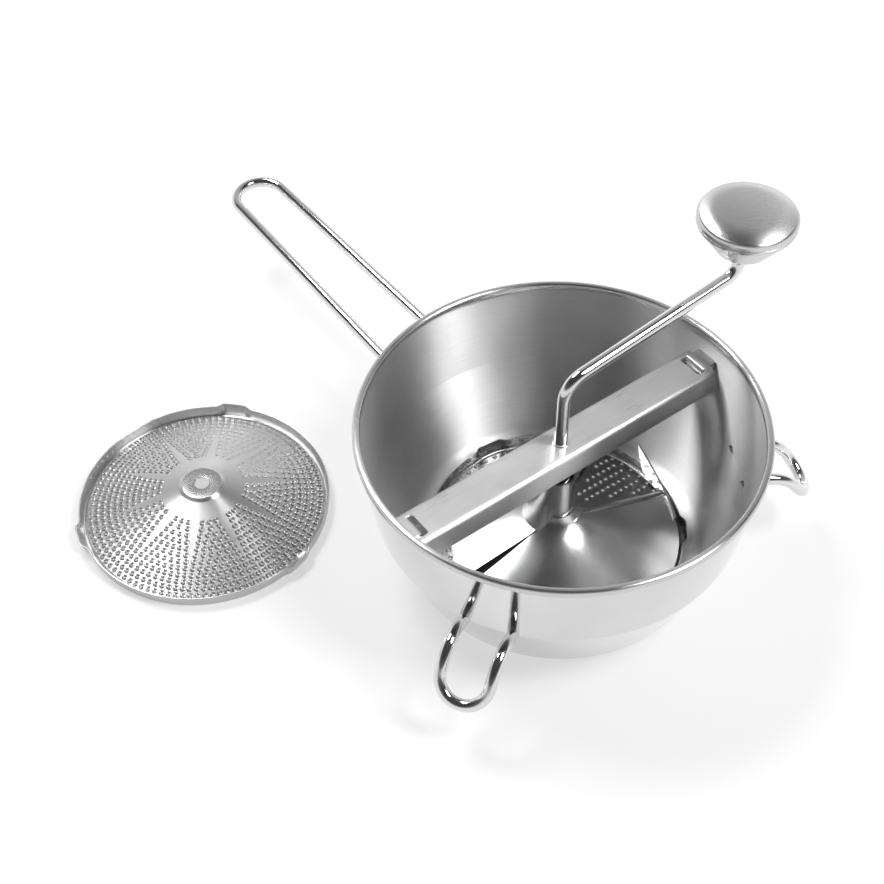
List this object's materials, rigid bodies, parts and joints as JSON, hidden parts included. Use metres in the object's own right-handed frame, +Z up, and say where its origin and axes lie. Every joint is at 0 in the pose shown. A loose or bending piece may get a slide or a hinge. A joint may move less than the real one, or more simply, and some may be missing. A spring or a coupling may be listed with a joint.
{
  "type": "hand cranked food mill",
  "caption": "Hand cranked strainer: a flared metal bowl with wire handle and rests, a crank turning a blade over a domed sieve, and a spare sieve.",
  "frame": {"origin": "centre of the bowl's flat base, on the crank's axis", "axes": "+Z up along the crank's axis; +X to the right and +Y to the back, with the handle loop to the back left"},
  "size_m": [0.4541, 0.4268, 0.1994],
  "materials": {
    "steel_spun": "spun stainless, polished outside, circular brush marks inside",
    "steel_wire": "polished round wire",
    "steel_pressed": "pressed stainless sheet, lengthwise brush marks",
    "steel_rod": "polished round rod",
    "steel_blade": "bright polished sheet",
    "steel_sieve": "pressed sieve sheet, fine brush marks",
    "steel_spring": "drawn spring wire",
    "steel_knob": "mirror polished stainless shells"
  },
  "bodies": {
    "bowl": {"bowl": "steel_spun", "handle_loop": "steel_wire", "rest_loop_front": "steel_wire", "rest_loop_right": "steel_wire", "bar_catch_right": "steel_pressed", "bar_catch_left": "steel_pressed", "sieve_disc": "steel_sieve"},
    "crossbar": {"crossbar": "steel_pressed", "shaft_bush": "steel_pressed", "upper_washer": "steel_pressed", "pressure_spring": "steel_spring"},
    "crank": {"crank_rod": "steel_rod", "blade_hub": "steel_rod", "blade": "steel_blade", "spring_sleeve": "steel_blade", "lower_washer": "steel_pressed", "knob_retainer": "steel_pressed"},
    "knob": {"knob_base": "steel_knob", "knob_cap": "steel_knob", "knob_bush": "steel_pressed"},
    "spare_disc": {"spare_disc": "steel_sieve"}
  },
  "joints": [
    {"name": "crank_spin", "type": "hinge", "parent": "bowl", "child": "crank", "pos_m": [0, 0, 0.05], "axis": [0, 0, 1], "continuous": true},
    {"name": "knob_spin", "type": "hinge", "parent": "crank", "child": "knob", "pos_m": [0.10541, 0.07574, 0.19], "axis": [0, 0, 1], "continuous": true},
    {"name": "bar_press", "type": "slide", "parent": "bowl", "child": "crossbar", "axis": [0, 0, -1], "range_m": [0, 0.006], "stiffness_N_per_m": 1500, "springref_m": -0.01, "deforming": ["pressure_spring"]},
    {"name": "spare_lift", "type": "slide", "parent": "bowl", "child": "spare_disc", "axis": [0, 0, 1], "range_m": [0, 0.05]}
  ]
}
